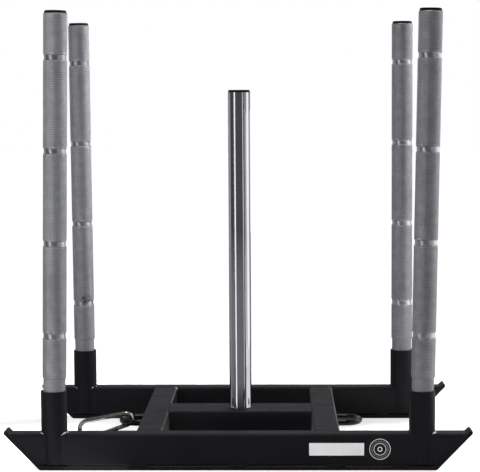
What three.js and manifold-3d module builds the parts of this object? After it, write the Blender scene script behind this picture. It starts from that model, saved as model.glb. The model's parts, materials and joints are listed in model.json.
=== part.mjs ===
// Push sled: a welded steel frame on two skids, with four loose knurled uprights standing in
// sockets, a centre post for weight plates, two tow loops and a snap hook.
// Units are millimetres. +Z is up and the ground is z = 0. The origin is on the ground at the
// middle of the frame. X runs along the skids: the front, where the snap hook is, is at -X.
// The left skid is at -Y.
import * as THREE from 'three';
import { mergeVertices } from 'three/addons/utils/BufferGeometryUtils.js';
import Module from 'manifold-3d';

const wasm = await Module();
wasm.setup();

// Clearances
const weldGap = 0.3;
const restGap = 0.3;
const overrun = 5;

// Skids
const skidSpacing = 545;
const skidBottomLength = 806;
const skidWidth = 45;
const skidHeight = 67;
const skidWall = 5;
const skidCorner = 7;
const skidEndAngle = THREE.MathUtils.degToRad(46);

// Soles
const soleThickness = 8;
const soleInset = 1;
const soleRise = 6;
const soleEndHeight = 6;
const soleEndEdge = 1.5;

// Cross beams and centre beam
const beamHeight = 60;
const beamWall = 4;
const beamCorner = 5;
const crossBeamWidth = 54;
const crossBeamFromSocket = 194;
const centreBeamWidth = 102;

// Uprights
const uprightDiameter = 45.6;
const uprightWall = 3;
const uprightLength = 915;
const knurlHeight = 1.7;
const knurlRunout = 1.5;
const knurlStartAboveSocket = 26;
const topBareLength = 2;
const topBandDrop = 91;
const bandPitch = 188.5;
const bandHeight = 9.5;
const bandCount = 4;

// Each loose upright leans by a share of its full play: 1 is as far as the socket lets it towards +X.
const leanGap = 0.12;
const leanShares = { front_left: 1, rear_left: 1, front_right: -0.35, rear_right: -0.05 };

// Sockets
const socketInset = 25.5;
const socketClearance = 1.4;
const socketWall = 2.5;
const socketRise = 87;
const socketLipChamfer = 0.8;

// Plastic plugs of the uprights and of the centre post
const plugFit = 0.3;
const plugStem = 18;
const capThickness = 3;
const capSetback = 0.5;
const capEdge = 1.2;
const footThickness = 4;
const footEdge = 1;

// Centre post
const postDiameter = 49;
const postWall = 3;
const postLength = 698;
const postCapSetback = 0.8;

// Tow loops
const towBarDiameter = 14;
const towBendRadius = 33;
const towLegLength = 19;
const towHeight = 46.5;

// Snap hook: round bar bent to a pear shape, with its narrow end round the tow loop
const hookBar = 10;
const hookNarrowRadius = 12.5;
const hookWideRadius = 20;
const hookCentres = 87;
const hookPinClearance = 0.7;
const pinFromNarrowEnd = 8;
const tangThickness = 4;
const tangRadius = 4.6;
const pivotFromNarrowEnd = 18;
const noseLength = 7;
const noseOverlap = 6;
const forkClearance = 0.4;
const forkDepth = 8;
const rivetDiameter = 4;
const rivetClearance = 0.3;
const rivetHeadDiameter = 7;
const rivetHeadHeight = 1.2;
const tongueWidth = 3;
const tongueHeight = 4;
const teeWidth = 6;
const teeLength = 2.4;
const slotClearance = 0.4;

// Facets
const roundSegments = 32;
const uprightSegments = 28;
const plugSegments = 24;
const cornerSegments = 3;
const barSides = 12;
const bendSteps = 20;

// Heights and places that follow from the sizes above
const deckTop = soleThickness + skidHeight;
const skidFloor = soleThickness + skidWall;
const socketBore = uprightDiameter + 2 * socketClearance;
const socketDiameter = socketBore + 2 * socketWall;
const socketTop = deckTop + socketRise;
const socketSpacing = skidBottomLength - 2 * socketInset;
const crossBeamSpacing = socketSpacing - 2 * crossBeamFromSocket;
const skidInnerFace = (skidSpacing - skidWidth) / 2;
const crossBeamOuterFace = (crossBeamSpacing + crossBeamWidth) / 2;
const crossBeamInnerFace = (crossBeamSpacing - crossBeamWidth) / 2;
const socketMiddle = (skidFloor + socketTop) / 2;
const fullLean = Math.atan((socketClearance - leanGap) / (socketTop - socketMiddle));
const uprightFootBottom = skidFloor + restGap + Math.sin(fullLean) * (uprightDiameter / 2 - footEdge);
const uprightBottom = uprightFootBottom + footThickness + weldGap;
const uprightTop = uprightBottom + uprightLength;
const towApex = crossBeamOuterFace + weldGap + towLegLength + towBendRadius;

// Materials, one for each kind of surface
const powderCoat = new THREE.MeshStandardMaterial({ color: 0x1f1f21, roughness: 0.55, metalness: 0.2 });
const soleSteel = new THREE.MeshStandardMaterial({ color: 0x1a1a1b, roughness: 0.6, metalness: 0.2 });
const knurledSteel = new THREE.MeshStandardMaterial({ color: 0x77777b, roughness: 0.45, metalness: 0.9 });
const chrome = new THREE.MeshStandardMaterial({ color: 0xd9dadc, roughness: 0.08, metalness: 1 });
const plastic = new THREE.MeshStandardMaterial({ color: 0x0e0e0f, roughness: 0.5, metalness: 0 });
const zincSteel = new THREE.MeshStandardMaterial({ color: 0xc4c5c8, roughness: 0.25, metalness: 1 });

// Turns a profile's local axes to the part's: its depth runs along X or along Y.
const alongX = new THREE.Matrix4().makeBasis(
  new THREE.Vector3(0, 1, 0), new THREE.Vector3(0, 0, 1), new THREE.Vector3(1, 0, 0));
const alongY = new THREE.Matrix4().makeBasis(
  new THREE.Vector3(1, 0, 0), new THREE.Vector3(0, 0, 1), new THREE.Vector3(0, -1, 0));

function toSolid(geometry) {
  const bare = geometry.clone();
  bare.deleteAttribute('normal');
  bare.deleteAttribute('uv');
  const merged = mergeVertices(bare);
  return new wasm.Manifold(new wasm.Mesh({
    numProp: 3,
    vertProperties: Float32Array.from(merged.attributes.position.array),
    triVerts: Uint32Array.from(merged.index.array),
  }));
}

function toGeometry(solid) {
  const cut = solid.getMesh();
  const geometry = new THREE.BufferGeometry();
  geometry.setAttribute('position', new THREE.BufferAttribute(cut.vertProperties, 3));
  geometry.setIndex(new THREE.BufferAttribute(cut.triVerts, 1));
  geometry.computeVertexNormals();
  return geometry;
}

// A rectangle with rounded corners, drawn counter-clockwise about its centre.
function roundedRectangle(target, width, height, radius) {
  const x = width / 2;
  const y = height / 2;
  const r = Math.max(radius, 0);
  if (r === 0) {
    target.moveTo(-x, -y);
    target.lineTo(x, -y);
    target.lineTo(x, y);
    target.lineTo(-x, y);
    target.closePath();
    return target;
  }
  target.moveTo(-x + r, -y);
  target.lineTo(x - r, -y);
  target.absarc(x - r, -y + r, r, -Math.PI / 2, 0);
  target.lineTo(x, y - r);
  target.absarc(x - r, y - r, r, 0, Math.PI / 2);
  target.lineTo(-x + r, y);
  target.absarc(-x + r, y - r, r, Math.PI / 2, Math.PI);
  target.lineTo(-x, -y + r);
  target.absarc(-x + r, -y + r, r, Math.PI, 3 * Math.PI / 2);
  target.closePath();
  return target;
}

function extrudeCentred(shape, depth, turn, curveSegments = cornerSegments) {
  const geometry = new THREE.ExtrudeGeometry(shape, { depth, bevelEnabled: false, curveSegments });
  geometry.translate(0, 0, -depth / 2);
  if (turn) geometry.applyMatrix4(turn);
  return geometry;
}

// A straight rectangular tube, open at both ends.
function rectangularTube(length, width, height, wall, corner, turn) {
  const shape = roundedRectangle(new THREE.Shape(), width, height, corner);
  shape.holes.push(roundedRectangle(new THREE.Path(), width - 2 * wall, height - 2 * wall, corner - wall));
  return extrudeCentred(shape, length, turn);
}

// A solid of revolution about Z. The profile runs counter-clockwise in [radius, height].
function revolve(profile, segments = roundSegments) {
  const points = profile.map(([radius, height]) => new THREE.Vector2(radius, height));
  const geometry = new THREE.LatheGeometry(points, segments);
  geometry.rotateX(Math.PI / 2);
  return geometry;
}

function cylinder(radius, bottom, top, segments = roundSegments) {
  return revolve([[0, bottom], [radius, bottom], [radius, top], [0, top]], segments);
}

function box(lowX, highX, lowY, highY, lowZ, highZ) {
  const geometry = new THREE.BoxGeometry(highX - lowX, highY - lowY, highZ - lowZ);
  geometry.translate((lowX + highX) / 2, (lowY + highY) / 2, (lowZ + highZ) / 2);
  return geometry;
}

// The skid's tube is trimmed to slanting ends that stop one weld gap short of the sole, and
// opened for both sockets down to its floor.
function skidGeometry() {
  const slope = Math.tan(skidEndAngle);
  const halfBottom = skidBottomLength / 2 - weldGap / Math.sin(skidEndAngle);
  const run = skidHeight / slope;
  const extra = overrun / slope;
  const tube = rectangularTube(
    2 * (halfBottom + run + extra), skidWidth, skidHeight, skidWall, skidCorner, alongX);
  tube.translate(0, 0, soleThickness + skidHeight / 2);
  const side = new THREE.Shape();
  side.moveTo(-halfBottom + extra, soleThickness - overrun);
  side.lineTo(halfBottom - extra, soleThickness - overrun);
  side.lineTo(halfBottom + run + extra, deckTop + overrun);
  side.lineTo(-halfBottom - run - extra, deckTop + overrun);
  side.closePath();
  let solid = toSolid(tube).intersect(toSolid(extrudeCentred(side, skidWidth + 2 * overrun, alongY)));
  for (const end of [-1, 1]) {
    const opening = cylinder(socketDiameter / 2 + weldGap, skidFloor + weldGap / 2, deckTop + overrun);
    opening.translate(end * socketSpacing / 2, 0, 0);
    solid = solid.subtract(toSolid(opening));
  }
  return toGeometry(solid);
}

// Flat bar under the skid, bent up along the skid's slanting ends. It stands above the skid's top
// and is cut off upright there.
function soleGeometry() {
  const a = skidBottomLength / 2;
  const t = soleThickness;
  const slope = Math.tan(skidEndAngle);
  const top = deckTop + soleRise;
  const innerX = a + (top - t) / slope;
  const outerZ = top - soleEndHeight;
  const outerX = a + t * Math.tan(skidEndAngle / 2) + outerZ / slope;
  const side = new THREE.Shape();
  side.moveTo(-a, 0);
  side.lineTo(a, 0);
  side.absarc(a, t, t, -Math.PI / 2, skidEndAngle - Math.PI / 2);
  side.lineTo(outerX, outerZ);
  side.lineTo(outerX, top - soleEndEdge);
  side.lineTo(outerX - soleEndEdge, top);
  side.lineTo(innerX, top);
  side.lineTo(a, t);
  side.lineTo(-a, t);
  side.lineTo(-innerX, top);
  side.lineTo(soleEndEdge - outerX, top);
  side.lineTo(-outerX, top - soleEndEdge);
  side.lineTo(-outerX, outerZ);
  side.absarc(-a, t, t, 3 * Math.PI / 2 - skidEndAngle, 3 * Math.PI / 2);
  side.closePath();
  return extrudeCentred(side, skidWidth - 2 * soleInset, alongY, cornerSegments + 1);
}

// Socket tube standing on the skid's floor, with a small chamfer round its mouth.
function socketGeometry() {
  const outer = socketDiameter / 2;
  const inner = socketBore / 2;
  const bottom = skidFloor + weldGap;
  const c = socketLipChamfer;
  return revolve([
    [inner, bottom], [outer, bottom], [outer, socketTop - c], [outer - c, socketTop],
    [inner, socketTop], [inner, bottom],
  ]);
}

function crossBeamGeometry() {
  const length = 2 * (skidInnerFace - weldGap);
  return rectangularTube(length, crossBeamWidth, beamHeight, beamWall, beamCorner, alongY);
}

function centreBeamGeometry() {
  const length = 2 * (crossBeamInnerFace - weldGap);
  return rectangularTube(length, centreBeamWidth, beamHeight, beamWall, beamCorner, alongX);
}

// Heights of the middles of the bare bands, from the lowest up.
function bandHeights(knurlStart) {
  const heights = [];
  for (let i = 0; i < bandCount; i += 1) {
    const height = uprightTop - topBandDrop - i * bandPitch;
    if (height - bandHeight > knurlStart) heights.unshift(height);
  }
  return heights;
}

// The upright is a tube with raised knurled lengths. Each one ends in a short slope, at the bare
// end that stands in the socket, at both sides of every band and just below the top.
function uprightGeometry() {
  const bare = uprightDiameter / 2;
  const raised = bare + knurlHeight;
  const bore = bare - uprightWall;
  const knurlStart = socketTop + knurlStartAboveSocket;
  const profile = [[bore, uprightBottom], [bare, uprightBottom], [bare, knurlStart]];
  profile.push([raised, knurlStart + knurlRunout]);
  for (const middle of bandHeights(knurlStart)) {
    const low = middle - bandHeight / 2;
    const high = middle + bandHeight / 2;
    profile.push([raised, low - knurlRunout], [bare, low], [bare, high], [raised, high + knurlRunout]);
  }
  const knurlEnd = uprightTop - topBareLength;
  profile.push([raised, knurlEnd - knurlRunout], [bare, knurlEnd], [bare, uprightTop]);
  profile.push([bore, uprightTop], [bore, uprightBottom]);
  return revolve(profile, uprightSegments);
}

// A plastic plug: a stem in the tube's bore under a flange that lies on the tube's end.
function capGeometry(tubeDiameter, wall, setback) {
  const flange = tubeDiameter / 2 - setback;
  const stem = tubeDiameter / 2 - wall - plugFit;
  return revolve([
    [0, -plugStem], [stem, -plugStem], [stem, 0], [flange, 0],
    [flange, capThickness - capEdge], [flange - capEdge, capThickness], [0, capThickness],
  ], plugSegments);
}

function footGeometry() {
  const flange = uprightDiameter / 2;
  const stem = uprightDiameter / 2 - uprightWall - plugFit;
  return revolve([
    [0, 0], [flange - footEdge, 0], [flange, footEdge], [flange, footThickness],
    [stem, footThickness], [stem, footThickness + plugStem], [0, footThickness + plugStem],
  ], plugSegments);
}

function postGeometry() {
  const outer = postDiameter / 2;
  const inner = outer - postWall;
  return revolve([[inner, 0], [outer, 0], [outer, postLength], [inner, postLength], [inner, 0]]);
}

// A round bar's section for a bar bent along a path.
function barSection(diameter) {
  const section = new THREE.Shape();
  section.absarc(0, 0, diameter / 2, 0, 2 * Math.PI);
  return section;
}

// A path of straight runs and arcs in the XY plane, followed at an even pace.
class BentPath extends THREE.Curve {
  constructor(pieces) {
    super();
    this.pieces = pieces;
    this.total = pieces.reduce((sum, piece) => sum + piece.length, 0);
  }

  getPoint(t, target = new THREE.Vector3()) {
    let rest = t * this.total;
    for (const piece of this.pieces) {
      if (rest <= piece.length || piece === this.pieces[this.pieces.length - 1]) {
        const point = piece.at(Math.min(rest / piece.length, 1));
        return target.set(point[0], point[1], 0);
      }
      rest -= piece.length;
    }
    return target;
  }
}

function straight(from, to) {
  return {
    length: Math.hypot(to[0] - from[0], to[1] - from[1]),
    at: (share) => [from[0] + share * (to[0] - from[0]), from[1] + share * (to[1] - from[1])],
  };
}

function arc(centre, radius, fromAngle, toAngle) {
  return {
    length: radius * Math.abs(toAngle - fromAngle),
    at: (share) => {
      const angle = fromAngle + share * (toAngle - fromAngle);
      return [centre[0] + radius * Math.cos(angle), centre[1] + radius * Math.sin(angle)];
    },
  };
}

function bentBar(pieces, diameter, steps) {
  return new THREE.ExtrudeGeometry(barSection(diameter), {
    steps,
    bevelEnabled: false,
    curveSegments: barSides / 2,
    extrudePath: new BentPath(pieces),
  });
}

// Half ring with two short legs, lying flat, its legs' ends at x = 0 and its bend towards +X.
function towLoopGeometry() {
  const r = towBendRadius;
  return bentBar([
    straight([0, -r], [towLegLength, -r]),
    arc([towLegLength, 0], r, -Math.PI / 2, Math.PI / 2),
    straight([towLegLength, r], [0, r]),
  ], towBarDiameter, bendSteps);
}

// The snap hook's outline in its own plane: u runs from the narrow end's centre to the wide
// end's, and v points to the spine. The spine and the gate side are tangent to both ends.
const hookHalfAngle = Math.asin((hookWideRadius - hookNarrowRadius) / hookCentres);
const hookSideLength = hookCentres * Math.cos(hookHalfAngle);

// A point on the middle line of the gate side, or at an offset inside it.
function onGateSide(along, inside = 0) {
  const c = Math.cos(hookHalfAngle);
  const s = Math.sin(hookHalfAngle);
  const u = -hookNarrowRadius * s + along * c + inside * s;
  const v = -hookNarrowRadius * c - along * s + inside * c;
  return [u, v];
}

function onSpine(along) {
  const [u, v] = onGateSide(along);
  return [u, -v];
}

// Puts a piece modelled along the gate side (x from the narrow end, z inward) into that place.
function toGateSide(geometry) {
  const c = Math.cos(hookHalfAngle);
  const s = Math.sin(hookHalfAngle);
  const [u, v] = onGateSide(0);
  const turn = new THREE.Matrix4().makeBasis(
    new THREE.Vector3(c, -s, 0), new THREE.Vector3(0, 0, -1), new THREE.Vector3(s, c, 0));
  turn.setPosition(u, v, 0);
  geometry.applyMatrix4(turn);
  return geometry;
}

const gateTip = hookSideLength - noseLength + noseOverlap;
const noseStart = hookSideLength - noseLength;

// The bar starts at the nose, goes round the wide end, along the spine and round the narrow end
// to the tang. The tang is flat and round-ended, and the nose is slotted from inside for the
// gate's T-shaped tip.
function hookBodyGeometry() {
  const wideFrom = -Math.PI / 2 - hookHalfAngle;
  const wideTo = Math.PI / 2 + hookHalfAngle;
  const narrowTo = 3 * Math.PI / 2 - hookHalfAngle;
  const barEnd = pivotFromNarrowEnd - tangRadius - forkDepth + hookBar / 2;
  const bar = bentBar([
    straight(onGateSide(noseStart), onGateSide(hookSideLength)),
    arc([hookCentres, 0], hookWideRadius, wideFrom, wideTo),
    straight(onSpine(hookSideLength), onSpine(0)),
    arc([0, 0], hookNarrowRadius, wideTo, narrowTo),
    straight(onGateSide(0), onGateSide(barEnd)),
  ], hookBar, 2 * bendSteps);
  return toGeometry(addTang(cutNose(toSolid(bar)), barEnd));
}

function addTang(solid, barEnd) {
  const outline = new THREE.Shape();
  const start = barEnd - hookBar / 2;
  outline.moveTo(start, -tangRadius);
  outline.lineTo(pivotFromNarrowEnd, -tangRadius);
  outline.absarc(pivotFromNarrowEnd, 0, tangRadius, -Math.PI / 2, Math.PI / 2);
  outline.lineTo(start, tangRadius);
  outline.closePath();
  const tang = toGateSide(extrudeCentred(outline, tangThickness, alongY, cornerSegments + 2));
  return solid.add(toSolid(tang)).subtract(toSolid(rivetHole()));
}

function rivetHole() {
  const hole = cylinder(rivetDiameter / 2 + rivetClearance, -hookBar, hookBar, roundSegments / 2);
  hole.applyMatrix4(alongY);
  hole.translate(pivotFromNarrowEnd, 0, 0);
  return toGateSide(hole);
}

function cutNose(solid) {
  const half = tongueWidth / 2 + slotClearance;
  const floor = -tongueHeight / 2 - slotClearance;
  const slot = box(noseStart - overrun, gateTip + slotClearance, -half, half, floor, hookBar);
  const halfTee = teeWidth / 2 + slotClearance;
  const teeStart = gateTip - teeLength - slotClearance;
  const pocket = box(teeStart, gateTip + slotClearance, -halfTee, halfTee, floor, hookBar);
  return solid.subtract(toSolid(toGateSide(slot))).subtract(toSolid(toGateSide(pocket)));
}

// The gate is a straight round bar. Its fork straddles the tang on the rivet, and its tongue
// lies in the nose's slot.
function gateGeometry() {
  const start = pivotFromNarrowEnd - hookBar / 2;
  const end = noseStart - slotClearance;
  const bar = cylinder(hookBar / 2, start, end, 2 * barSides);
  bar.rotateY(Math.PI / 2);
  const tongue = box(end - overrun, gateTip, -tongueWidth / 2, tongueWidth / 2, -tongueHeight / 2, tongueHeight / 2);
  const tee = box(gateTip - teeLength, gateTip, -teeWidth / 2, teeWidth / 2, -tongueHeight / 2, tongueHeight / 2);
  const halfFork = tangThickness / 2 + forkClearance;
  const forkEnd = pivotFromNarrowEnd + tangRadius + forkClearance;
  const fork = box(start - overrun, forkEnd, -halfFork, halfFork, -hookBar, hookBar);
  const solid = toSolid(toGateSide(bar))
    .add(toSolid(toGateSide(tongue)))
    .add(toSolid(toGateSide(tee)))
    .subtract(toSolid(toGateSide(fork)))
    .subtract(toSolid(rivetHole()));
  return toGeometry(solid);
}

function rivetGeometry() {
  const shank = rivetDiameter / 2;
  const head = rivetHeadDiameter / 2;
  const seat = hookBar / 2 + restGap;
  const top = seat + rivetHeadHeight;
  const rivet = revolve([
    [0, -top], [shank, -top], [head, -seat - rivetHeadHeight / 2], [head, -seat], [shank, -seat],
    [shank, seat], [head, seat], [head, seat + rivetHeadHeight / 2], [shank, top], [0, top],
  ], roundSegments / 2);
  rivet.applyMatrix4(alongY);
  rivet.translate(pivotFromNarrowEnd, 0, 0);
  return toGateSide(rivet);
}

// Assembly
const sled = new THREE.Group();

function place(parent, name, geometry, material, x = 0, y = 0, z = 0) {
  const mesh = new THREE.Mesh(geometry, material);
  mesh.name = name;
  mesh.position.set(x, y, z);
  parent.add(mesh);
  return mesh;
}

const skid = skidGeometry();
const sole = soleGeometry();
const socket = socketGeometry();
const upright = uprightGeometry();
const uprightCap = capGeometry(uprightDiameter, uprightWall, capSetback);
const uprightFoot = footGeometry();

for (const [side, sideSign] of [['left', -1], ['right', 1]]) {
  const y = sideSign * skidSpacing / 2;
  place(sled, `skid_${side}`, skid, powderCoat, 0, y);
  place(sled, `sole_${side}`, sole, soleSteel, 0, y);
  for (const [end, endSign] of [['front', -1], ['rear', 1]]) {
    const x = endSign * socketSpacing / 2;
    place(sled, `socket_${end}_${side}`, socket, powderCoat, x, y);
    const leaning = new THREE.Group();
    leaning.position.set(x, y, socketMiddle);
    leaning.rotation.y = fullLean * leanShares[`${end}_${side}`];
    place(leaning, `upright_${end}_${side}`, upright, knurledSteel, 0, 0, -socketMiddle);
    place(leaning, `upright_cap_${end}_${side}`, uprightCap, plastic, 0, 0, uprightTop + weldGap - socketMiddle);
    place(leaning, `upright_foot_${end}_${side}`, uprightFoot, plastic, 0, 0, uprightFootBottom - socketMiddle);
    sled.add(leaning);
  }
}

const crossBeam = crossBeamGeometry();
const towLoop = towLoopGeometry();
const beamMiddle = deckTop - beamHeight / 2;
for (const [end, endSign] of [['front', -1], ['rear', 1]]) {
  place(sled, `cross_beam_${end}`, crossBeam, powderCoat, endSign * crossBeamSpacing / 2, 0, beamMiddle);
  const loopX = endSign * (crossBeamOuterFace + weldGap);
  const loop = place(sled, `tow_loop_${end}`, towLoop, powderCoat, loopX, 0, towHeight);
  if (endSign < 0) loop.rotation.z = Math.PI;
}
place(sled, 'centre_beam', centreBeamGeometry(), powderCoat, 0, 0, beamMiddle);
place(sled, 'centre_post', postGeometry(), chrome, 0, 0, deckTop + weldGap);
place(sled, 'centre_post_cap', capGeometry(postDiameter, postWall, postCapSetback), plastic,
  0, 0, deckTop + 2 * weldGap + postLength);

// The snap hook hangs on the front tow loop: its spine lies on the loop's bar and its wide end
// on the ground, which gives the spine's slope. Its own plane is turned to the part's XZ.
const spineAbovePin = (towBarDiameter + hookBar) / 2 + hookPinClearance;
const wideCentreHeight = hookWideRadius + hookBar / 2 + restGap;
const pinToWideEnd = hookSideLength - pinFromNarrowEnd;
const spineDrop = hookWideRadius - spineAbovePin;
const spineSlope = Math.asin((towHeight - wideCentreHeight) / Math.hypot(pinToWideEnd, spineDrop))
  - Math.atan2(spineDrop, pinToWideEnd);
const hookTilt = spineSlope + hookHalfAngle;
const wideCentreX = -towApex - pinToWideEnd * Math.cos(spineSlope) + spineDrop * Math.sin(spineSlope);
const hook = new THREE.Group();
hook.setRotationFromMatrix(new THREE.Matrix4().makeBasis(
  new THREE.Vector3(-Math.cos(hookTilt), 0, -Math.sin(hookTilt)),
  new THREE.Vector3(-Math.sin(hookTilt), 0, Math.cos(hookTilt)),
  new THREE.Vector3(0, 1, 0)));
hook.position.set(
  wideCentreX + hookCentres * Math.cos(hookTilt), 0, wideCentreHeight + hookCentres * Math.sin(hookTilt));
place(hook, 'snap_hook_body', hookBodyGeometry(), zincSteel);
place(hook, 'snap_hook_gate', gateGeometry(), zincSteel);
place(hook, 'snap_hook_rivet', rivetGeometry(), zincSteel);
sled.add(hook);

export default sled;
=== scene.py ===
import json
import math
import random

import bpy
from mathutils import Matrix, Vector


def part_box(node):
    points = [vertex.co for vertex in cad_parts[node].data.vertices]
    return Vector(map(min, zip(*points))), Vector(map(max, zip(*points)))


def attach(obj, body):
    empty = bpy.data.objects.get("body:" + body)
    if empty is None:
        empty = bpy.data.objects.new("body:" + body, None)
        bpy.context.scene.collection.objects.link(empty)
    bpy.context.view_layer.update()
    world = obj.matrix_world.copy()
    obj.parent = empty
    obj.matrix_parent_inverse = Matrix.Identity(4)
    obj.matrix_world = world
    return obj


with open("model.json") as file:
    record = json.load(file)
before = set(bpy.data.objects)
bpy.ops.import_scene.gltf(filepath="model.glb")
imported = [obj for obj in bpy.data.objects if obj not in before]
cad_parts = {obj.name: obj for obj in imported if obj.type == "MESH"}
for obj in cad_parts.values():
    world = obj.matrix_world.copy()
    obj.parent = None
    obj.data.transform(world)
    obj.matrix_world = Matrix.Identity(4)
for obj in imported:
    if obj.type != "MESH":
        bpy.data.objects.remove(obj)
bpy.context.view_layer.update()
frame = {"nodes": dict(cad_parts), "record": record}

MM = 0.001

# Places and sizes read off the frame, in metres
skid_low, skid_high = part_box("skid_left")
socket_low, socket_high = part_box("socket_front_left")
upright_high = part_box("upright_rear_right")[1]
post_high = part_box("centre_post")[1]
SKID_FACE = skid_low.y
SKID_TOP = skid_high.z
SKID_Y = -(skid_low.y + skid_high.y) / 2
SKID_HALF = (skid_high.y - skid_low.y) / 2
SOCKET_X = -(socket_low.x + socket_high.x) / 2
SOCKET_RADIUS = (socket_high.x - socket_low.x) / 2
SOCKET_BOTTOM = socket_low.z
SOCKET_TOP = socket_high.z
SOCKET_MIDDLE = (SOCKET_BOTTOM + SOCKET_TOP) / 2
UPRIGHT_TOP = upright_high.z
POST_TOP = post_high.z

# Sizes of the same solids that their boxes don't give
SKID_CORNER = 7 * MM
BEAM_CORNER = 5 * MM
UPRIGHT_BARE = 22.8 * MM
KNURL_START = SOCKET_TOP + 26 * MM
TOP_BAND = UPRIGHT_TOP - 91 * MM
BAND_PITCH = 188.5 * MM
BAND_HALF = 4.75 * MM
SLOPE_START = (404.5 * MM, 10 * MM)
SLOPE_END = (465.5 * MM, 73 * MM)

CORNERS = ("front_left", "rear_left", "front_right", "rear_right")


def lean_of(corner):
    """The angle by which a loose upright leans towards +X, as its joint's axis gives it."""
    for joint in frame["record"]["behaviour"]["joints"]:
        if joint["name"] == f"upright_{corner}_lift":
            return math.atan2(joint["axis"][0], joint["axis"][2])


# Camera, fitted to the edges of the object in the picture

PICTURE_WIDTH = 480
SENSOR_WIDTH = 36
FOCAL_PIXELS = 1619.11
CAMERA_PLACE = (0.08187, -3.55117, 0.75267)
CAMERA_PITCH = 0.08326
CAMERA_YAW = -0.02288
CAMERA_ROLL = -0.00545
CAMERA_NEAR = 0.1
CAMERA_FAR = 100


def place_camera():
    data = bpy.data.cameras.new("camera")
    camera = bpy.data.objects.new("camera", data)
    bpy.context.scene.collection.objects.link(camera)
    data.sensor_width = SENSOR_WIDTH
    data.lens = FOCAL_PIXELS / PICTURE_WIDTH * SENSOR_WIDTH
    pitch, yaw, roll = CAMERA_PITCH, CAMERA_YAW, CAMERA_ROLL
    forward = Vector((math.sin(yaw) * math.cos(pitch), math.cos(yaw) * math.cos(pitch), -math.sin(pitch)))
    level = Vector((math.cos(yaw), -math.sin(yaw), 0))
    upward = level.cross(forward)
    right = level * math.cos(roll) + upward * math.sin(roll)
    up = upward * math.cos(roll) - level * math.sin(roll)
    turn = Matrix((right, up, -forward)).transposed().to_4x4()
    camera.matrix_world = Matrix.Translation(CAMERA_PLACE) @ turn
    data.clip_start = CAMERA_NEAR
    data.clip_end = CAMERA_FAR
    bpy.context.scene.camera = camera


place_camera()


# Shader helpers

class Graph:
    """Adds and links the nodes of one material or of the world."""

    def __init__(self, tree):
        self.tree = tree
        tree.nodes.clear()

    def join(self, socket, value):
        if isinstance(value, bpy.types.NodeSocket):
            self.tree.links.new(value, socket)
        else:
            socket.default_value = value

    def add(self, kind, inputs=None, **settings):
        node = self.tree.nodes.new(kind)
        for key, value in settings.items():
            setattr(node, key, value)
        for key, value in (inputs or {}).items():
            self.join(node.inputs[key], value)
        return node

    def math(self, operation, *values):
        node = self.add("ShaderNodeMath", operation=operation)
        for i, value in enumerate(values):
            self.join(node.inputs[i], value)
        return node.outputs[0]

    def vector(self, operation, *values):
        """A vector, or a number for the operations that give one."""
        node = self.add("ShaderNodeVectorMath", operation=operation)
        for i, value in enumerate(values):
            self.join(node.inputs[i], value)
        gives_number = operation in ("LENGTH", "DOT_PRODUCT", "DISTANCE")
        return node.outputs[1 if gives_number else 0]

    def mix(self, factor, a, b):
        """A colour between a and b: sockets 6 and 7 of the node take colours, and output 2 gives one."""
        node = self.add("ShaderNodeMix", data_type="RGBA")
        self.join(node.inputs[0], factor)
        self.join(node.inputs[6], a)
        self.join(node.inputs[7], b)
        return node.outputs[2]

    def ramp(self, value, low, high, to_low=0.0, to_high=1.0, smooth=False):
        node = self.add("ShaderNodeMapRange", clamp=True)
        node.interpolation_type = "SMOOTHSTEP" if smooth else "LINEAR"
        sockets = ("Value", "From Min", "From Max", "To Min", "To Max")
        for key, v in zip(sockets, (value, low, high, to_low, to_high)):
            self.join(node.inputs[key], v)
        return node.outputs[0]

    def position(self):
        return self.add("ShaderNodeTexCoord").outputs["Object"]

    def scaled(self, vector, by):
        return self.vector("MULTIPLY", vector, by)

    def noise(self, vector, scale, detail, roughness):
        inputs = {"Vector": vector, "Scale": scale, "Detail": detail, "Roughness": roughness}
        return self.add("ShaderNodeTexNoise", inputs).outputs["Fac"]

    def patches(self, vector, scale, detail, roughness, to_low=0.0, to_high=1.0):
        """Noise spread over the whole range from to_low to to_high."""
        return self.ramp(self.noise(vector, scale, detail, roughness), 0.3, 0.7, to_low, to_high)

    def split(self, vector):
        return self.add("ShaderNodeSeparateXYZ", {"Vector": vector}).outputs

    def combine(self, x, y, z):
        return self.add("ShaderNodeCombineXYZ", {"X": x, "Y": y, "Z": z}).outputs[0]

    def bump(self, height, distance, strength):
        inputs = {"Height": height, "Distance": distance, "Strength": strength}
        return self.add("ShaderNodeBump", inputs).outputs[0]

    def facing(self):
        """X, Y and Z of the face's own direction."""
        return self.split(self.add("ShaderNodeNewGeometry").outputs["True Normal"])

    def edges(self, radius):
        """Near 1 along the outer edges of a piece and 0 on its flats."""
        soft = self.add("ShaderNodeBevel", {"Radius": radius}, samples=6).outputs[0]
        true = self.add("ShaderNodeNewGeometry").outputs["Normal"]
        return self.ramp(self.vector("DOT_PRODUCT", soft, true), 0.995, 0.9)

    def seen(self):
        """1 for the camera and for what shiny or clear surfaces show, and 0 for plain light."""
        path = self.add("ShaderNodeLightPath").outputs
        shown = self.math("MAXIMUM", path["Is Glossy Ray"], path["Is Transmission Ray"])
        return self.math("MAXIMUM", path["Is Camera Ray"], shown)

    def finish(self, colour, rough, normal, metal=0.0, specular=0.5):
        inputs = {"Base Color": colour, "Metallic": metal, "Roughness": rough, "Specular IOR Level": specular,
                  "Normal": normal}
        shader = self.add("ShaderNodeBsdfPrincipled", inputs)
        self.add("ShaderNodeOutputMaterial", {"Surface": shader.outputs[0]})


def new_material(name):
    material = bpy.data.materials.new(name)
    material.use_nodes = True
    return material, Graph(material.node_tree)


def grey(value, warm=0.0):
    return (value * (1 + warm), value, value * (1 - warm), 1)


def steel(value):
    """A grey with the slight blue of the bare steel."""
    return (value * 0.975, value * 0.985, value * 1.045, 1)


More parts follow.
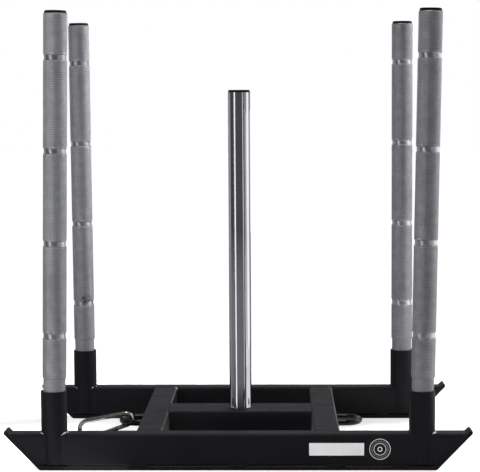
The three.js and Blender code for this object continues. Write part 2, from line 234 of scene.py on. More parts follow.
def blue_black(value):
    """The slightly blue black of the powder coat."""
    return (value * 1.02, value, value * 1.3, 1)


# Materials

COAT_EDGE = 1.4 * MM
COAT_GRAIN = 0.1 * MM
COAT_SHADE = 0.0055
LOOP_GRAIN = 0.03 * MM
BARE_WELD_AND_GLINT = (0.86, 0.85, 0.83, 1)


def coat_graph(g, base, rubbed):
    """Black powder coat: fine pebbled grain, slow patches of colour, rubbed edges and a few faint scuffs."""
    p = g.position()
    fine = g.noise(p, 900, 2, 0.6)
    colour = g.mix(g.patches(p, 7, 4, 0.6), blue_black(base * 0.85), blue_black(base * 1.2))
    colour = g.mix(g.ramp(fine, 0.35, 0.75, 0, 0.35), colour, blue_black(base * 2.0))
    edge = g.math("MULTIPLY", g.edges(COAT_EDGE), g.ramp(g.noise(p, 60, 5, 0.7), 0.45, 0.62))
    colour = g.mix(g.math("MULTIPLY", edge, 0.3 + rubbed), colour, grey(0.035))
    top = g.ramp(g.facing()[2], 0.8, 0.95)
    along = g.noise(g.scaled(p, (14, 420, 1)), 1, 3, 0.6)
    across = g.noise(g.scaled(p, (500, 22, 1)), 1, 3, 0.6)
    marks = g.math("MAXIMUM", g.ramp(along, 0.68, 0.76), g.ramp(across, 0.7, 0.78))
    marks = g.math("MULTIPLY", marks, g.math("MULTIPLY", top, g.ramp(g.noise(p, 5, 2, 0.5), 0.4, 0.6)))
    colour = g.mix(g.math("MULTIPLY", marks, 0.25), colour, grey(0.02))
    rough = g.math("SUBTRACT", g.patches(p, 25, 4, 0.6, 0.44, 0.54), g.math("MULTIPLY", edge, 0.1))
    pebbles = g.add("ShaderNodeTexVoronoi", {"Vector": p, "Scale": 1100}, feature="SMOOTH_F1")
    grain = g.math("MULTIPLY", pebbles.outputs["Distance"], 0.6)
    grain = g.math("ADD", g.math("MULTIPLY", fine, 0.5), grain)
    return colour, rough, g.bump(grain, COAT_GRAIN, 0.45)


def powder_coat(name, base=COAT_SHADE, rubbed=0.0, rim_highlight=0.0):
    """The black coat. When given a shade for it, a painted highlight lightens the long top edges that face
    +X.
    """
    material, g = new_material(name)
    colour, rough, normal = coat_graph(g, base, rubbed)
    if rim_highlight:
        # Painted highlight on the faces turned towards +X and up; the noise in thin only breaks it up along
        # its length
        facing = g.facing()
        turned = g.math("MULTIPLY", g.ramp(facing[0], 0.15, 0.35), g.ramp(facing[2], 0.25, 0.45))
        thin = g.ramp(g.noise(g.position(), 90, 4, 0.6), 0.3, 0.6, 0.55, 1.0)
        colour = g.mix(g.math("MULTIPLY", turned, thin), colour, grey(rim_highlight))
    g.finish(colour, rough, normal, specular=0.2)
    return material


def loop_coat():
    """Glossier black coat of the tow loops, worn smooth by straps."""
    material, g = new_material("loop_coat")
    p = g.position()
    patches = g.patches(p, 30, 4, 0.6)
    colour = g.mix(patches, grey(0.003), grey(0.006))
    fine = g.noise(p, 900, 2, 0.5)
    rough = g.math("ADD", g.ramp(patches, 0, 1, 0.07, 0.13), g.ramp(fine, 0.5, 0.8, 0, 0.08))
    normal = g.bump(g.noise(p, 400, 2, 0.5), LOOP_GRAIN, 0.4)
    g.finish(colour, rough, normal, specular=0.33)
    return material


def weld_coat():
    """The same black coat drawn thin over weld beads, with bright metal where it has chipped off, pale enough
    to serve also as painted glints.
    """
    material, g = new_material("weld_coat")
    colour, rough, normal = coat_graph(g, 0.006, 0.2)
    p = g.position()
    chips_and_glints = g.ramp(g.noise(p, 230, 3, 0.6), 0.47, 0.52)
    near = 0.0
    for x, y, z, reach in CHIPS_AND_GLINTS:
        near = g.math("MAXIMUM", near, g.ramp(g.vector("DISTANCE", p, (x, y, z)), reach, reach * 0.5))
    # Chipped bare metal, pale and partly diffuse so that it also shows as painted glints
    bare = g.math("MULTIPLY", chips_and_glints, near)
    colour = g.mix(bare, colour, BARE_WELD_AND_GLINT)
    rough = g.mix(bare, rough, grey(0.3))
    metal = g.math("MULTIPLY", bare, 0.6)
    g.finish(colour, rough, normal, metal=metal, specular=0.22)
    return material


KNURL_STARTS = 64
KNURL_LEAD = 2.4 * MM
KNURL_DEPTH = 0.5 * MM
ROW_PITCH = 4.4 * MM
RUN_OUT_MIDDLE = BAND_HALF + 3.2 * MM
RUN_OUT_HALF = 1.6 * MM
UPRIGHT_LIP = 2.6 * MM
LIP_EDGE = 0.6 * MM
SCUFF = (-SOCKET_X + 5 * MM, SKID_Y - 24 * MM, 285 * MM)
SCUFF_REACH = (17 * MM, 18 * MM, 18 * MM)


def knurled_steel(corner):
    """Grey steel of one upright: diamond knurling on the raised lengths and plain bands between them."""
    material, g = new_material(f"knurled_steel_{corner}")
    p = g.position()

    # Place along the upright's own leaning line, and round it
    low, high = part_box(f"socket_{corner}")
    lean = lean_of(corner)
    x, y, z = g.split(p)
    from_x = g.math("SUBTRACT", x, (low.x + high.x) / 2)
    from_z = g.math("SUBTRACT", z, SOCKET_MIDDLE)
    c, s = math.cos(lean), math.sin(lean)
    local_x = g.math("SUBTRACT", g.math("MULTIPLY", from_x, c), g.math("MULTIPLY", from_z, s))
    local_y = g.math("SUBTRACT", y, (low.y + high.y) / 2)
    height = g.math("ADD", g.math("MULTIPLY", from_x, s), g.math("MULTIPLY_ADD", from_z, c, SOCKET_MIDDLE))
    around = g.math("DIVIDE", g.math("ARCTAN2", local_y, local_x), 2 * math.pi)
    radius = g.vector("LENGTH", g.combine(local_x, local_y, 0.0))
    raised = g.ramp(radius, UPRIGHT_BARE + 0.3 * MM, UPRIGHT_BARE + 1.2 * MM)
    to_band = g.math("PINGPONG", g.math("ADD", height, 10 * BAND_PITCH - TOP_BAND), BAND_PITCH / 2)

    # Two crossing sets of grooves leave the diamonds, with painted shade in the grooves
    along = g.math("DIVIDE", height, KNURL_LEAD)
    starts = g.math("MULTIPLY", around, KNURL_STARTS)
    first = g.math("ADD", starts, along)
    first = g.math("ABSOLUTE", g.math("SINE", g.math("MULTIPLY", first, math.pi)))
    second = g.math("SUBTRACT", starts, along)
    second = g.math("ABSOLUTE", g.math("SINE", g.math("MULTIPLY", second, math.pi)))
    diamonds = g.math("MINIMUM", first, second)
    wear = g.patches(p, 14, 4, 0.65)
    # Painted shade: the grooves get a much darker grey than the peaks
    shaded_groove = g.mix(wear, steel(0.21), steel(0.27))
    peak = g.mix(wear, steel(0.54), steel(0.64))
    colour = g.mix(g.ramp(diamonds, 0.05, 0.75), shaded_groove, peak)

    # Faint darker rows that drift a little
    drift = g.patches(g.scaled(p, (1, 1, 0.5)), 75, 1, 0.5, -1.7, 1.7)
    rows = g.math("SINE", g.math("ADD", g.math("MULTIPLY", height, 2 * math.pi / ROW_PITCH), drift))
    rows = g.ramp(g.math("ADD", rows, g.patches(p, 60, 2, 0.5, -0.8, 0.8)), -0.9, 0.9)
    colour = g.mix(g.math("MULTIPLY", rows, 0.42), colour, steel(0.15))

    # Painted highlight: bright broken lines where the knurling runs out at a band, for its edge catching the
    # light from above
    off = g.math("ABSOLUTE", g.math("SUBTRACT", to_band, RUN_OUT_MIDDLE))
    run_out = g.ramp(off, RUN_OUT_HALF, RUN_OUT_HALF / 2)
    broken = g.ramp(g.noise(g.scaled(p, (1, 1, 0.4)), 150, 3, 0.6), 0.45, 0.6)
    colour = g.mix(g.math("MULTIPLY", run_out, g.math("MULTIPLY", broken, 0.8)), colour, grey(0.62))

    # Plain steel of the bands and, duller, of the base
    fine = g.noise(g.scaled(p, (1, 1, 0.25)), 1400, 2, 0.6)
    plain = g.mix(g.ramp(fine, 0.3, 0.7), steel(0.6), steel(0.7))
    base = g.ramp(height, KNURL_START + 1 * MM, KNURL_START - 1 * MM)
    plain = g.mix(base, plain, g.mix(g.ramp(fine, 0.3, 0.7), steel(0.28), steel(0.36)))
    colour = g.mix(raised, plain, colour)

    # A dark scuff on one upright
    scuff = g.vector("LENGTH", g.vector("DIVIDE", g.vector("SUBTRACT", p, SCUFF), SCUFF_REACH))
    scuff = g.math("MULTIPLY", g.ramp(scuff, 1.0, 0.35), g.ramp(g.noise(p, 190, 4, 0.7), 0.44, 0.55))
    colour = g.mix(g.math("MULTIPLY", scuff, 0.9), colour, grey(0.02))

    rough = g.mix(raised, g.mix(base, grey(0.3), grey(0.5)), grey(0.33))
    rough = g.math("ADD", rough, g.ramp(wear, 0, 1, -0.01, 0.04))
    metal = g.math("MAXIMUM", g.math("MULTIPLY", raised, 0.3), g.math("MULTIPLY", base, 0.4))
    metal = g.math("SUBTRACT", 1.0, metal)

    # The black lip of the plug in its top
    lip = g.ramp(height, UPRIGHT_TOP - UPRIGHT_LIP, UPRIGHT_TOP - UPRIGHT_LIP + LIP_EDGE)
    colour = g.mix(lip, colour, grey(0.005))
    metal = g.math("MULTIPLY", metal, g.math("SUBTRACT", 1.0, lip))
    rough = g.math("MAXIMUM", rough, g.math("MULTIPLY", lip, 0.6))
    bumps = g.math("ADD", g.math("MULTIPLY", diamonds, raised), g.math("MULTIPLY", fine, 0.08))
    normal = g.bump(bumps, KNURL_DEPTH, 0.45)
    g.finish(colour, rough, normal, metal=metal, specular=0.25)
    return material


POST_LIP = 2.4 * MM
POST_LIP_EDGE = 0.4 * MM


def chrome():
    """Polished chrome with faint lengthways lines and smears, and the black lip of the plug in its top."""
    material, g = new_material("chrome")
    p = g.position()
    lines = g.noise(g.scaled(p, (900, 900, 6)), 1, 3, 0.6)
    smears = g.noise(g.scaled(p, (30, 30, 9)), 1, 4, 0.6)
    colour = g.mix(g.ramp(smears, 0.35, 0.7), (0.6, 0.61, 0.65, 1), (0.68, 0.69, 0.72, 1))
    rough = g.math("ADD", g.ramp(smears, 0.3, 0.75, 0.035, 0.075), g.ramp(lines, 0.55, 0.8, 0, 0.05))
    normal = g.bump(lines, 0.02 * MM, 0.35)
    lip = g.ramp(g.split(p)[2], POST_TOP - POST_LIP, POST_TOP - POST_LIP + POST_LIP_EDGE)
    colour = g.mix(lip, colour, grey(0.005))
    metal = g.math("SUBTRACT", 1.0, lip)
    rough = g.math("MAXIMUM", rough, g.math("MULTIPLY", lip, 0.5))
    g.finish(colour, rough, normal, metal=metal, specular=0.3)
    return material


def plug_plastic():
    """Black moulded plastic with a matt, slightly uneven skin."""
    material, g = new_material("plug_plastic")
    p = g.position()
    colour = g.mix(g.patches(p, 60, 3, 0.6), grey(0.003), grey(0.006))
    rough = g.patches(p, 120, 3, 0.6, 0.55, 0.7)
    normal = g.bump(g.noise(p, 1500, 3, 0.6), 0.05 * MM, 0.4)
    g.finish(colour, rough, normal, specular=0.14)
    return material


def hook_steel():
    """Bright plated steel with small dents and a little dulling."""
    material, g = new_material("hook_steel")
    p = g.position()
    dull = g.ramp(g.noise(p, 160, 4, 0.65), 0.35, 0.7)
    colour = g.mix(dull, (0.66, 0.63, 0.58, 1), (0.36, 0.33, 0.28, 1))
    rough = g.ramp(dull, 0, 1, 0.05, 0.17)
    normal = g.bump(g.noise(p, 500, 3, 0.6), 0.08 * MM, 0.35)
    g.finish(colour, rough, normal, metal=1.0)
    return material


def sticker_vinyl(name, value):
    """Pale printed vinyl, a little uneven, dulled and rubbed at random."""
    material, g = new_material(name)
    p = g.position()
    colour = g.mix(g.patches(p, 40, 3, 0.6), grey(value, 0.005), grey(value * 0.92))
    rubbed = g.ramp(g.noise(p, 420, 4, 0.7), 0.62, 0.72)
    colour = g.mix(g.math("MULTIPLY", rubbed, 0.35), colour, grey(0.2))
    rough = g.patches(p, 90, 3, 0.6, 0.38, 0.5)
    normal = g.bump(g.noise(p, 800, 2, 0.5), 0.03 * MM, 0.3)
    g.finish(colour, rough, normal, specular=0.3)
    return material


def burnt_weld():
    """The weld round the chrome post: dark, with brown heat colours and a dull shine."""
    material, g = new_material("burnt_weld")
    p = g.position()
    tint = g.ramp(g.noise(p, 180, 3, 0.6), 0.35, 0.65)
    colour = g.mix(tint, (0.008, 0.007, 0.006, 1), (0.045, 0.032, 0.018, 1))
    specks = g.ramp(g.noise(p, 520, 2, 0.5), 0.66, 0.7)
    colour = g.mix(specks, colour, (0.5, 0.47, 0.4, 1))
    rough = g.patches(p, 300, 3, 0.6, 0.4, 0.6)
    normal = g.bump(g.noise(p, 700, 3, 0.6), 0.08 * MM, 0.5)
    g.finish(colour, rough, normal, metal=0.5)
    return material


# Places on the welds, as x, y, z and reach, where the coat has chipped off, the bright bare metal there also
# standing in as painted glints
CHIPS_AND_GLINTS = (
    (-SOCKET_X - 24 * MM, -SKID_Y - 13 * MM, SKID_TOP + 3 * MM, 9 * MM),
    (-SOCKET_X + 22 * MM, -SKID_Y - 16 * MM, SKID_TOP + 3 * MM, 10 * MM),
    (-SOCKET_X + 28 * MM, -SKID_Y - 4 * MM, SKID_TOP + 3 * MM, 9 * MM),
    (SOCKET_X + 24 * MM, -SKID_Y - 13 * MM, SKID_TOP + 3 * MM, 10 * MM),
    (-SOCKET_X - 20 * MM, SKID_Y - 17 * MM, SKID_TOP, 9 * MM),
    (-SOCKET_X + 22 * MM, SKID_Y - 15 * MM, SKID_TOP, 11 * MM),
    (-156.5 * MM, 250 * MM, SKID_TOP, 8 * MM),
    (210.5 * MM, 250 * MM, SKID_TOP, 8 * MM),
)
# Shade of the painted highlight along the cross beams' top edges that face +X
BEAM_RIM_HIGHLIGHT = 0.035

finishes = {
    "powder_coat": powder_coat("powder_coat"),
    "sole_steel": powder_coat("sole_coat", base=0.006, rubbed=0.3),
    "chrome_post": chrome(),
    "plug_plastic": plug_plastic(),
    "hook_steel": hook_steel(),
}
for corner in CORNERS:
    finishes[f"upright_{corner}"] = knurled_steel(corner)
finishes["tow_loop_front"] = finishes["tow_loop_rear"] = loop_coat()
# The cross beams' coat carries the painted highlight along its +X top edges
finishes["cross_beam_front"] = finishes["cross_beam_rear"] = powder_coat("beam_coat", rim_highlight=BEAM_RIM_HIGHLIGHT)
slots = {part["node"]: part["material_slot"] for part in frame["record"]["subparts"]}


# The frame's own solids

SHARP_ANGLE = math.radians(32)
SMALLEST_FACE = 1e-12
SAME_PLACE = 0.002 * MM


def mark_sharp_edges(mesh):
    """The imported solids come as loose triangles, so an edge is known by the places of its two ends."""
    places = {}
    ids = [places.setdefault(tuple(round(c, 6) for c in v.co), len(places)) for v in mesh.vertices]
    facing = {}
    for face in mesh.polygons:
        if face.area > SMALLEST_FACE:
            for a, b in face.edge_keys:
                facing.setdefault(frozenset((ids[a], ids[b])), []).append(face.normal.copy())
    for edge in mesh.edges:
        a, b = edge.vertices
        normals = facing.get(frozenset((ids[a], ids[b])), [])
        edge.use_edge_sharp = len(normals) == 2 and normals[0].angle(normals[1]) > SHARP_ANGLE


def dress_frame():
    """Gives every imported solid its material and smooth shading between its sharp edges."""
    for name, node in frame["nodes"].items():
        mesh = node.data
        if "custom_normal" in mesh.attributes:
            mesh.attributes.remove(mesh.attributes["custom_normal"])
        mesh.shade_smooth()
        mark_sharp_edges(mesh)
        join = node.modifiers.new("join", "WELD")
        join.merge_threshold = SAME_PLACE
        even = node.modifiers.new("even_flats", "WEIGHTED_NORMAL")
        even.keep_sharp = True
        mesh.materials.clear()
        mesh.materials.append(finishes.get(name) or finishes[slots[name]])


dress_frame()


# Pieces of the scene's own

def mesh_object(name, vertices, faces, material):
    mesh = bpy.data.meshes.new(name)
    mesh.from_pydata(vertices, [], faces)
    mesh.validate()
    mesh.materials.append(material)
    made = bpy.data.objects.new(name, mesh)
    bpy.context.scene.collection.objects.link(made)
    return made


def ride_frame(piece):
    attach(piece, "frame")


# Weld beads. Their lines are lists of (x, y, z, radius)

BEAD_STEP = 0.85 * MM
BEAD_PITCH = 2.8 * MM
BEAD_EASING = 3
# Ripples of a bead, as shares of its radius: how much they differ, their lowest place and their rise
RIPPLE_VARIES = 0.12
RIPPLE_LOW = 0.9
RIPPLE_RISE = 0.2
# The power under 1 makes the ripples broad and the dips between them narrow
RIPPLE_POWER = 0.7
# Share of its radius at the tip of an open bead, and what each step from the tip adds
TIP_SHARE = 0.35
TIP_GROWTH = 0.25
# A direction that no bead starts along
SKEW = (0.31, 0.17, 0.93)


def resample(points, closed):
    """Points at an even pace along a line."""
    line = [Vector(p) for p in points]
    if closed:
        line.append(line[0])
    lengths = [0.0]
    for a, b in zip(line, line[1:]):
        lengths.append(lengths[-1] + (b.to_3d() - a.to_3d()).length)
    count = max(int(lengths[-1] / BEAD_STEP), 3)
    made = []
    k = 0
    for i in range(count if closed else count + 1):
        at = lengths[-1] * i / count
        while k < len(line) - 2 and lengths[k + 1] < at:
            k += 1
        span = max(lengths[k + 1] - lengths[k], 1e-9)
        made.append(line[k].lerp(line[k + 1], (at - lengths[k]) / span))
    return made


def ease(points, closed):
    """Evens out sudden corners of a line so that the bead laid on it doesn't fold."""
    n = len(points)
    for _ in range(BEAD_EASING):
        eased = []
        for i, p in enumerate(points):
            if closed or 0 < i < n - 1:
                eased.append((points[i - 1] + p * 2 + points[(i + 1) % n]) / 4)
            else:
                eased.append(p.copy())
        points = eased
    return points


def lay_bead(vertices, faces, points, closed, dice, sides=8):
    """A weld bead along a line: a row of overlapping ripples, each of its own size."""
    line = ease(resample(points, closed), closed)
    n = len(line)
    first = len(vertices)
    across = Vector(SKEW)
    ripple, size = 0.0, 1.0
    for i, p in enumerate(line):
        here = p.to_3d()
        ahead = line[(i + 1) % n] if closed or i < n - 1 else p
        behind = line[i - 1] if closed or i > 0 else p
        way = (ahead.to_3d() - behind.to_3d()).normalized()
        across = (across - way * across.dot(way)).normalized()
        other = way.cross(across)
        ripple += BEAD_STEP / BEAD_PITCH
        if ripple >= 1.0:
            ripple -= 1.0
            size = 1 + dice.uniform(-RIPPLE_VARIES, RIPPLE_VARIES)
        swell = size * (RIPPLE_LOW + RIPPLE_RISE * math.sin(math.pi * ripple) ** RIPPLE_POWER)
        if not closed:
            swell *= min(1.0, TIP_SHARE + min(i, n - 1 - i) * TIP_GROWTH)
        for j in range(sides):
            a = 2 * math.pi * j / sides
            vertices.append(here + (across * math.cos(a) + other * math.sin(a)) * p[3] * swell)
    rings = n if closed else n - 1
    for i in range(rings):
        ring = first + i * sides
        following = first + ((i + 1) % n) * sides
        for j in range(sides):
            k = (j + 1) % sides
            faces.append((ring + j, ring + k, following + k, following + j))
    if not closed:
        faces.append(tuple(first + j for j in reversed(range(sides))))
        faces.append(tuple(first + (n - 1) * sides + j for j in range(sides)))


SOCKET_BEAD = 2.3 * MM
CORNER_BEAD = 1.3 * MM
THIN_BEAD = 0.9 * MM
UNDER_BEAD = 1.2 * MM
TOP_STEPS = 12
CORNER_STEPS = 5


def socket_line(x0, y0):
    """Round a socket where it meets its skid: over the top, down the faces it stands out of, and under."""
    points = []
    half, corner = SKID_HALF, SKID_CORNER
    r = SOCKET_RADIUS + 0.4 * MM
    flat = math.asin((half - corner) / r)
    side_x = math.sqrt(r * r - half * half)
    top = SKID_TOP + 0.2 * MM
    low = SOCKET_BOTTOM + 3 * MM
    under = SOCKET_BOTTOM - 0.75 * MM

    def over_the_corner(end, side, steps):
        for i in steps:
            t = math.pi / 2 * i / CORNER_STEPS
            y = half - corner + corner * math.sin(t)
            x = math.sqrt(r * r - y * y)
            z = SKID_TOP - corner + corner * math.cos(t)
            points.append((x0 + end * x, y0 + side * y, z, CORNER_BEAD))

    for side in (1, -1):
        for i in range(TOP_STEPS + 1):
            a = -flat + 2 * flat * i / TOP_STEPS
            points.append((x0 + side * r * math.cos(a), y0 + side * r * math.sin(a), top, SOCKET_BEAD))
        over_the_corner(side, side, range(1, CORNER_STEPS + 1))
        points.append((x0 + side * side_x, y0 + side * half, low, THIN_BEAD))
        for share in (0.9, 0.45, 0, -0.45, -0.9):
            points.append((x0 + side * share * side_x, y0 + side * (half + 0.6 * MM), under, UNDER_BEAD))
        points.append((x0 - side * side_x, y0 + side * half, low, THIN_BEAD))
        over_the_corner(-side, side, range(CORNER_STEPS, 0, -1))
    return points


# How far the bead round a beam lies inside its rounded corners, off its flats and out at its top corners
INTO_CORNER = 0.5 * MM
OFF_FLAT = 0.2 * MM
TOP_CORNER_OUT = 0.4 * MM


def beam_end_line(centre, across, width, low, high, out, top_radius, side_radius):
    """Round a beam's end, from its centre: across lies along its width and out along its length.
    The bead over the top lies flush with it."""
    half = width / 2
    c = BEAM_CORNER
    points = []

    def at(offset, z, push, radius):
        x = centre[0] + across[0] * offset + out[0] * push
        y = centre[1] + across[1] * offset + out[1] * push
        points.append((x, y, z, radius))

    lift = high + 0.3 * MM - top_radius
    for share in (-0.85, -0.4, 0, 0.4, 0.85):
        at(half * share, lift, top_radius * 0.75, top_radius)
    at(half - INTO_CORNER, high - c, TOP_CORNER_OUT, side_radius)
    at(half + OFF_FLAT, (low + high) / 2, 0, side_radius)
    at(half - INTO_CORNER, low + c, 0, side_radius)
    for share in (0.85, 0, -0.85):
        at(half * share, low - OFF_FLAT, 0, side_radius)
    at(-half + INTO_CORNER, low + c, 0, side_radius)
    at(-half - OFF_FLAT, (low + high) / 2, 0, side_radius)
    at(-half + INTO_CORNER, high - c, TOP_CORNER_OUT, side_radius)
    return points


def ring_line(centre, u, v, radius, bead, steps=24):
    turns = [2 * math.pi * i / steps for i in range(steps)]
    return [(*(centre + (u * math.cos(a) + v * math.sin(a)) * radius), bead) for a in turns]


def slope_line(end, y, radius):
    """Up the cut end of a skid, along the seam with its sole."""
    return [(end * x, y, z, radius) for x, z in (SLOPE_START, SLOPE_END)]


ALONG_X = Vector((1, 0, 0))
ALONG_Y = Vector((0, 1, 0))
ALONG_Z = Vector((0, 0, 1))
CROSS_BEAM_BEADS = (3.4 * MM, 2 * MM)
CENTRE_BEAM_BEADS = (2.6 * MM, 1.9 * MM)
LOOP_BEAD = 1.9 * MM
POST_BEAD = 1.7 * MM
SOLE_BEAD = 2.6 * MM
SOLE_SEAM = 9.2 * MM
SLOPE_BEAD = 1.6 * MM
# Middle and length of the short beads between skid and sole, in millimetres
SOLE_RUNS = ((-330, 34), (-205, 42), (0, 36), (200, 42), (330, 30))


def weld_beads():
    """All weld beads of the frame, laid on the lines where its tubes and bars meet."""
    dice = random.Random(7)
    vertices, faces = [], []
    for corner in CORNERS:
        low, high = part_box(f"socket_{corner}")
        lay_bead(vertices, faces, socket_line((low.x + high.x) / 2, (low.y + high.y) / 2), True, dice)
    for end in ("front", "rear"):
        low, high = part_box(f"cross_beam_{end}")
        middle = (low.x + high.x) / 2
        for side in (-1, 1):
            line = beam_end_line((middle, side * high.y), (1, 0), high.x - low.x, low.z, high.z, (0, side),
                                 *CROSS_BEAM_BEADS)
            lay_bead(vertices, faces, line, True, dice)
        low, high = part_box(f"tow_loop_{end}")
        bar = (high.z - low.z) / 2
        root = high.x if end == "front" else low.x
        for y in (low.y + bar, high.y - bar):
            centre = Vector((root, y, (low.z + high.z) / 2))
            line = ring_line(centre, ALONG_Y, ALONG_Z, bar + 0.4 * MM, LOOP_BEAD)
            lay_bead(vertices, faces, line, True, dice, sides=7)
    low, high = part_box("centre_beam")
    for side in (-1, 1):
        line = beam_end_line((side * high.x, 0), (0, 1), high.y - low.y, low.z, high.z, (side, 0),
                             *CENTRE_BEAM_BEADS)
        lay_bead(vertices, faces, line, True, dice)
    for side in ("left", "right"):
        low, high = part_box(f"sole_{side}")
        for face, inward in ((low.y, 0.8 * MM), (high.y, -0.8 * MM)):
            for middle, length in SOLE_RUNS:
                ends = ((middle - length / 2) * MM, (middle + length / 2) * MM)
                line = [(x, face + inward, SOLE_SEAM, SOLE_BEAD) for x in ends]
                lay_bead(vertices, faces, line, False, dice)
            for end in (-1, 1):
                lay_bead(vertices, faces, slope_line(end, face - inward * 0.4, SLOPE_BEAD), False, dice)
    made = mesh_object("weld_beads", vertices, faces, weld_coat())
    made.data.shade_smooth()
    made.visible_glossy = False
    ride_frame(made)

    low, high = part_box("centre_post")
    vertices, faces = [], []
    line = ring_line(Vector((0, 0, low.z - 0.3 * MM)), ALONG_X, ALONG_Y, high.x + 0.5 * MM, POST_BEAD, 48)
    lay_bead(vertices, faces, line, True, dice)
    made = mesh_object("post_weld", vertices, faces, burnt_weld())
    made.data.shade_smooth()
    ride_frame(made)


# Stickers

STICKER_OUT = 0.2 * MM
STICKER_IN = 0.05 * MM
LABEL_PLACE = (202 * MM, 43.9 * MM)
LABEL_SIZE = (111.8 * MM, 25.7 * MM)
LABEL_CORNER = 0.6 * MM
BADGE_PLACE = (290.2 * MM, 44.0 * MM)
# Outer and inner radius of each ring, in millimetres
BADGE_RINGS = ((21.5, 20.5), (12.7, 11.7), (5.0, 3.4))
BADGE_TICKS = 36
# Corners of a tick, as an angle off its middle line and a radius in millimetres
TICK = ((-0.04, 15.2), (-0.035, 18.0), (0.035, 18.0), (0.04, 15.2))


def flat_piece(name, outline, hole, material):
    """A thin sticker on the outer face of the left skid. Outline and hole are loops of (x, z)."""
    front = SKID_FACE - STICKER_OUT
    back = SKID_FACE + STICKER_IN
    vertices, faces = [], []
    n = len(outline)
    loops = [outline] + ([hole] if hole else [])
    for y in (front, back):
        for loop in loops:
            vertices += [(x, y, z) for x, z in loop]
    layer = n * len(loops)
    for i in range(n):
        j = (i + 1) % n
        faces.append((i, i + layer, j + layer, j))
        if hole:
            faces.append((i, j, n + j, n + i))
            faces.append((n + i, n + j, n + j + layer, n + i + layer))
    if not hole:
        faces.append(tuple(range(n)))
    ride_frame(mesh_object(name, vertices, faces, material))


def rounded_loop(centre, size, radius, steps=6):
    loop = []
    for k, (side_x, side_z) in enumerate(((1, 1), (-1, 1), (-1, -1), (1, -1))):
        for i in range(steps + 1):
            a = math.pi / 2 * (k + i / steps)
            loop.append((centre[0] + side_x * (size[0] / 2 - radius) + radius * math.cos(a),
                         centre[1] + side_z * (size[1] / 2 - radius) + radius * math.sin(a)))
    return loop


def circle_loop(centre, radius, steps=72):
    turns = [2 * math.pi * i / steps for i in range(steps)]
    return [(centre[0] + radius * math.cos(a), centre[1] + radius * math.sin(a)) for a in turns]


def stickers():
    """A blank pale label and a plain ring badge on the left skid, where such a sled carries its signs."""
    pale = sticker_vinyl("label_vinyl", 0.74)
    bright = sticker_vinyl("badge_vinyl", 0.88)
    dim = sticker_vinyl("tick_vinyl", 0.2)
    flat_piece("label", rounded_loop(LABEL_PLACE, LABEL_SIZE, LABEL_CORNER), None, pale)
    for k, (outer, inner) in enumerate(BADGE_RINGS):
        loops = [circle_loop(BADGE_PLACE, radius * MM) for radius in (outer, inner)]
        flat_piece(f"badge_ring_{k}", *loops, bright)
    x, z = BADGE_PLACE
    for i in range(BADGE_TICKS):
        a = 2 * math.pi * i / BADGE_TICKS
        tick = [(x + math.cos(a + d) * r * MM, z + math.sin(a + d) * r * MM) for d, r in reversed(TICK)]
        flat_piece(f"badge_tick_{i}", tick, None, dim)


weld_beads()
stickers()


# Studio

WHITE = (1, 1, 1)
LILAC = (0.97, 0.95, 1.0)
PLAIN_LIGHT = (0.1, 0.1, 0.104, 1)
CARD_DISTANCE = 6.0
CARD_LOW = -0.2
CARD_HIGH = 4.4
CARD_STEP = 5
FLOOR_CARD_START = 0.02
FLOOR_CARD_HEIGHT = 1 * MM
# Distances from the middle between which a floor card's light changes, near the sled and far off
FLOOR_CARD_NEAR = (0.36, 0.8)
FLOOR_CARD_FAR = (2.6, 5.9)
FLOOR_COLOUR = (0.82, 0.82, 0.82, 1)
FLOOR_HALF = 20
FLOOR_DROP = 0.4 * MM
# The share of its glow that the floor has near the middle, and the distances between which it gets all
FLOOR_GLOW = 0.62
FLOOR_FADE = (0.7, 1.6)
UNSHINING = ("skid_left", "cross_beam_front", "cross_beam_rear", "centre_beam")


def emitter(name, tint, strength, near=1.0, far=None):
    """Even light. If far is given it is a floor card's: beside the sled it falls to the share near of
    its strength, and at the outer edge it reaches far."""
    material, g = new_material(name)
    if far is not None:
        reach = g.vector("LENGTH", g.position())
        outer = g.ramp(reach, *FLOOR_CARD_FAR, strength, far)
        strength = g.math("MULTIPLY", g.ramp(reach, *FLOOR_CARD_NEAR, near, 1.0), outer)
    shader = g.add("ShaderNodeEmission", {"Color": (*tint, 1), "Strength": strength})
    g.add("ShaderNodeOutputMaterial", {"Surface": shader.outputs[0]})
    return material


def only_glossy(made):
    made.visible_camera = False
    made.visible_diffuse = False
    made.visible_shadow = False


def card(name, start, end, shade, tint=WHITE, ground=0.18, near=1.0):
    """A curved studio card standing round the sled, with another on the floor in front of it.
    Only shiny surfaces see them. Angles run from -Y towards +X."""
    steps = max(int((end - start) / CARD_STEP), 2)
    wall, floor = [], []
    for i in range(steps + 1):
        a = math.radians(start + (end - start) * i / steps)
        x, y = math.sin(a), -math.cos(a)
        far_x, far_y = CARD_DISTANCE * x, CARD_DISTANCE * y
        wall += [(far_x, far_y, CARD_LOW), (far_x, far_y, CARD_HIGH)]
        near_x, near_y = FLOOR_CARD_START * x, FLOOR_CARD_START * y
        floor += [(near_x, near_y, FLOOR_CARD_HEIGHT), (far_x, far_y, FLOOR_CARD_HEIGHT)]
    faces = [(2 * i, 2 * i + 2, 2 * i + 3, 2 * i + 1) for i in range(steps)]
    only_glossy(mesh_object(name, wall, faces, emitter(name, tint, shade)))
    faces = [tuple(reversed(f)) for f in faces]
    name += "_floor"
    only_glossy(mesh_object(name, floor, faces, emitter(name, tint, ground, near, shade)))


def panel(name, corners, shade):
    """A flat studio card with four corners."""
    only_glossy(mesh_object(name, corners, [(0, 1, 2, 3)], emitter(name, WHITE, shade)))


def level_panel(name, x, y, z, shade):
    """A flat studio card that lies level between two places along X and two along Y."""
    panel(name, [(x[0], y[0], z), (x[1], y[0], z), (x[1], y[1], z), (x[0], y[1], z)], shade)


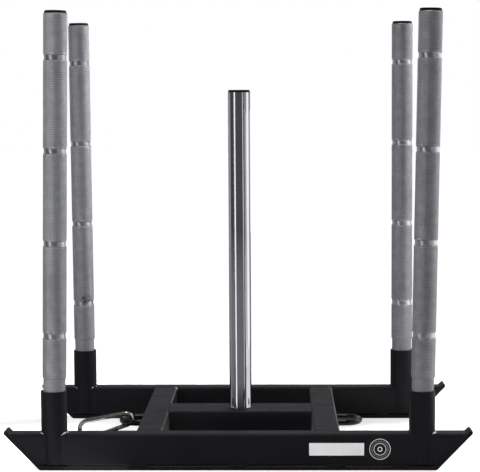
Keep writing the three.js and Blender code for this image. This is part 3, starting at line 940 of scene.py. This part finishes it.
def upright_panel(name, start, end, low, high, shade):
    """A flat studio card that stands upright between two places on the floor plan."""
    panel(name, [(*start, low), (*end, low), (*end, high), (*start, high)], shade)


def lamp(name, location, target, size, power, spread=180):
    data = bpy.data.lights.new(name, "AREA")
    data.shape = "RECTANGLE"
    data.size, data.size_y = size
    data.energy = power
    data.spread = math.radians(spread)
    made = bpy.data.objects.new(name, data)
    bpy.context.scene.collection.objects.link(made)
    made.location = location
    made.rotation_euler = (Vector(target) - Vector(location)).to_track_quat("-Z", "Y").to_euler()
    made.visible_camera = False
    made.visible_glossy = False


def build_world():
    world = bpy.data.worlds.new("world")
    bpy.context.scene.world = world
    world.use_nodes = True
    g = Graph(world.node_tree)
    colour = g.mix(g.seen(), PLAIN_LIGHT, (*WHITE, 1))
    background = g.add("ShaderNodeBackground", {"Color": colour, "Strength": 1.0})
    g.add("ShaderNodeOutputWorld", {"Surface": background.outputs[0]})


def build_floor():
    """A pale floor that turns into the white background away from the sled and keeps its shadow."""
    material, g = new_material("floor")
    away = g.ramp(g.vector("LENGTH", g.position()), *FLOOR_FADE, FLOOR_GLOW, 1.0, smooth=True)
    diffuse = g.add("ShaderNodeBsdfDiffuse", {"Color": FLOOR_COLOUR})
    glow = g.add("ShaderNodeEmission", {"Color": (*WHITE, 1), "Strength": g.math("MULTIPLY", away, g.seen())})
    both = g.add("ShaderNodeAddShader", {0: diffuse.outputs[0], 1: glow.outputs[0]})
    g.add("ShaderNodeOutputMaterial", {"Surface": both.outputs[0]})
    h = FLOOR_HALF
    floor = mesh_object("floor", [(-h, -h, 0), (h, -h, 0), (h, h, 0), (-h, h, 0)], [(0, 1, 2, 3)], material)
    floor.location.z = -FLOOR_DROP


build_world()
build_floor()
for name in UNSHINING:
    frame["nodes"][name].visible_glossy = False

card("card_left_dark", -100, -50, 0.07, ground=0.22, near=0.06)
card("card_left_strip", -50, -37, 1.4, ground=1.35)
card("card_front", -37, 37, 0.09, LILAC, ground=0.2, near=0.06)
card("card_right_strip", 37, 45, 0.8, ground=0.6, near=0.25)
card("card_right_dark", 45, 60, 0.12, near=0.25)
card("card_right", 60, 118, 0.35, ground=1.0)
card("card_back_right", 118, 152, 0.45, LILAC, ground=0.3)
card("card_back", 152, 212, 0.35, LILAC)
upright_panel("back_low", (1.0, 5.6), (2.6, 5.2), 0.0, 0.7, 1.6)
card("card_back_left", 212, 260, 0.4, LILAC, ground=0.3)
upright_panel("box_right_0", (1.25, -0.55), (1.25, -0.3), 0.02, 0.72, 0.5)
upright_panel("box_right_1", (1.25, -0.3), (1.25, -0.1), 0.02, 0.72, 0.9)
upright_panel("box_right_2", (1.25, -0.1), (1.25, 0.62), 0.02, 3.4, 1.35)
level_panel("ceiling", (-6.2, 6.2), (-6.2, 6.2), CARD_HIGH, 0.15)
level_panel("box_top", (-0.7, 0.7), (-0.3, 0.5), 4.3, 9.0)
level_panel("box_front", (-0.9, 0.9), (-1.5, -0.5), 4.3, 1.5)
upright_panel("high_right", (2.5, 2.0), (3.2, 1.1), 2.2, 3.0, 14.0)
level_panel("under_hook", (-0.42, -0.3), (-0.1, 0.1), 1.5 * MM, 0.7)
lamp("lamp_back_right", (1.9, 1.6, 1.4), (0, 0.3, 1.0), (1.0, 0.8), 42, spread=70)
lamp("lamp_left", (-1.05, -1.15, 0.95), (-0.38, -0.27, 0.7), (0.35, 1.2), 16)
lamp("lamp_top", (0, -0.4, 3.2), (0, 0, 0), (3.0, 3.0), 6)
lamp("lamp_front", (0.1, -1.6, 0.15), (0.1, -0.3, 0.04), (1.2, 0.1), 0.5, spread=25)

bpy.context.scene.view_settings.view_transform = "Standard"
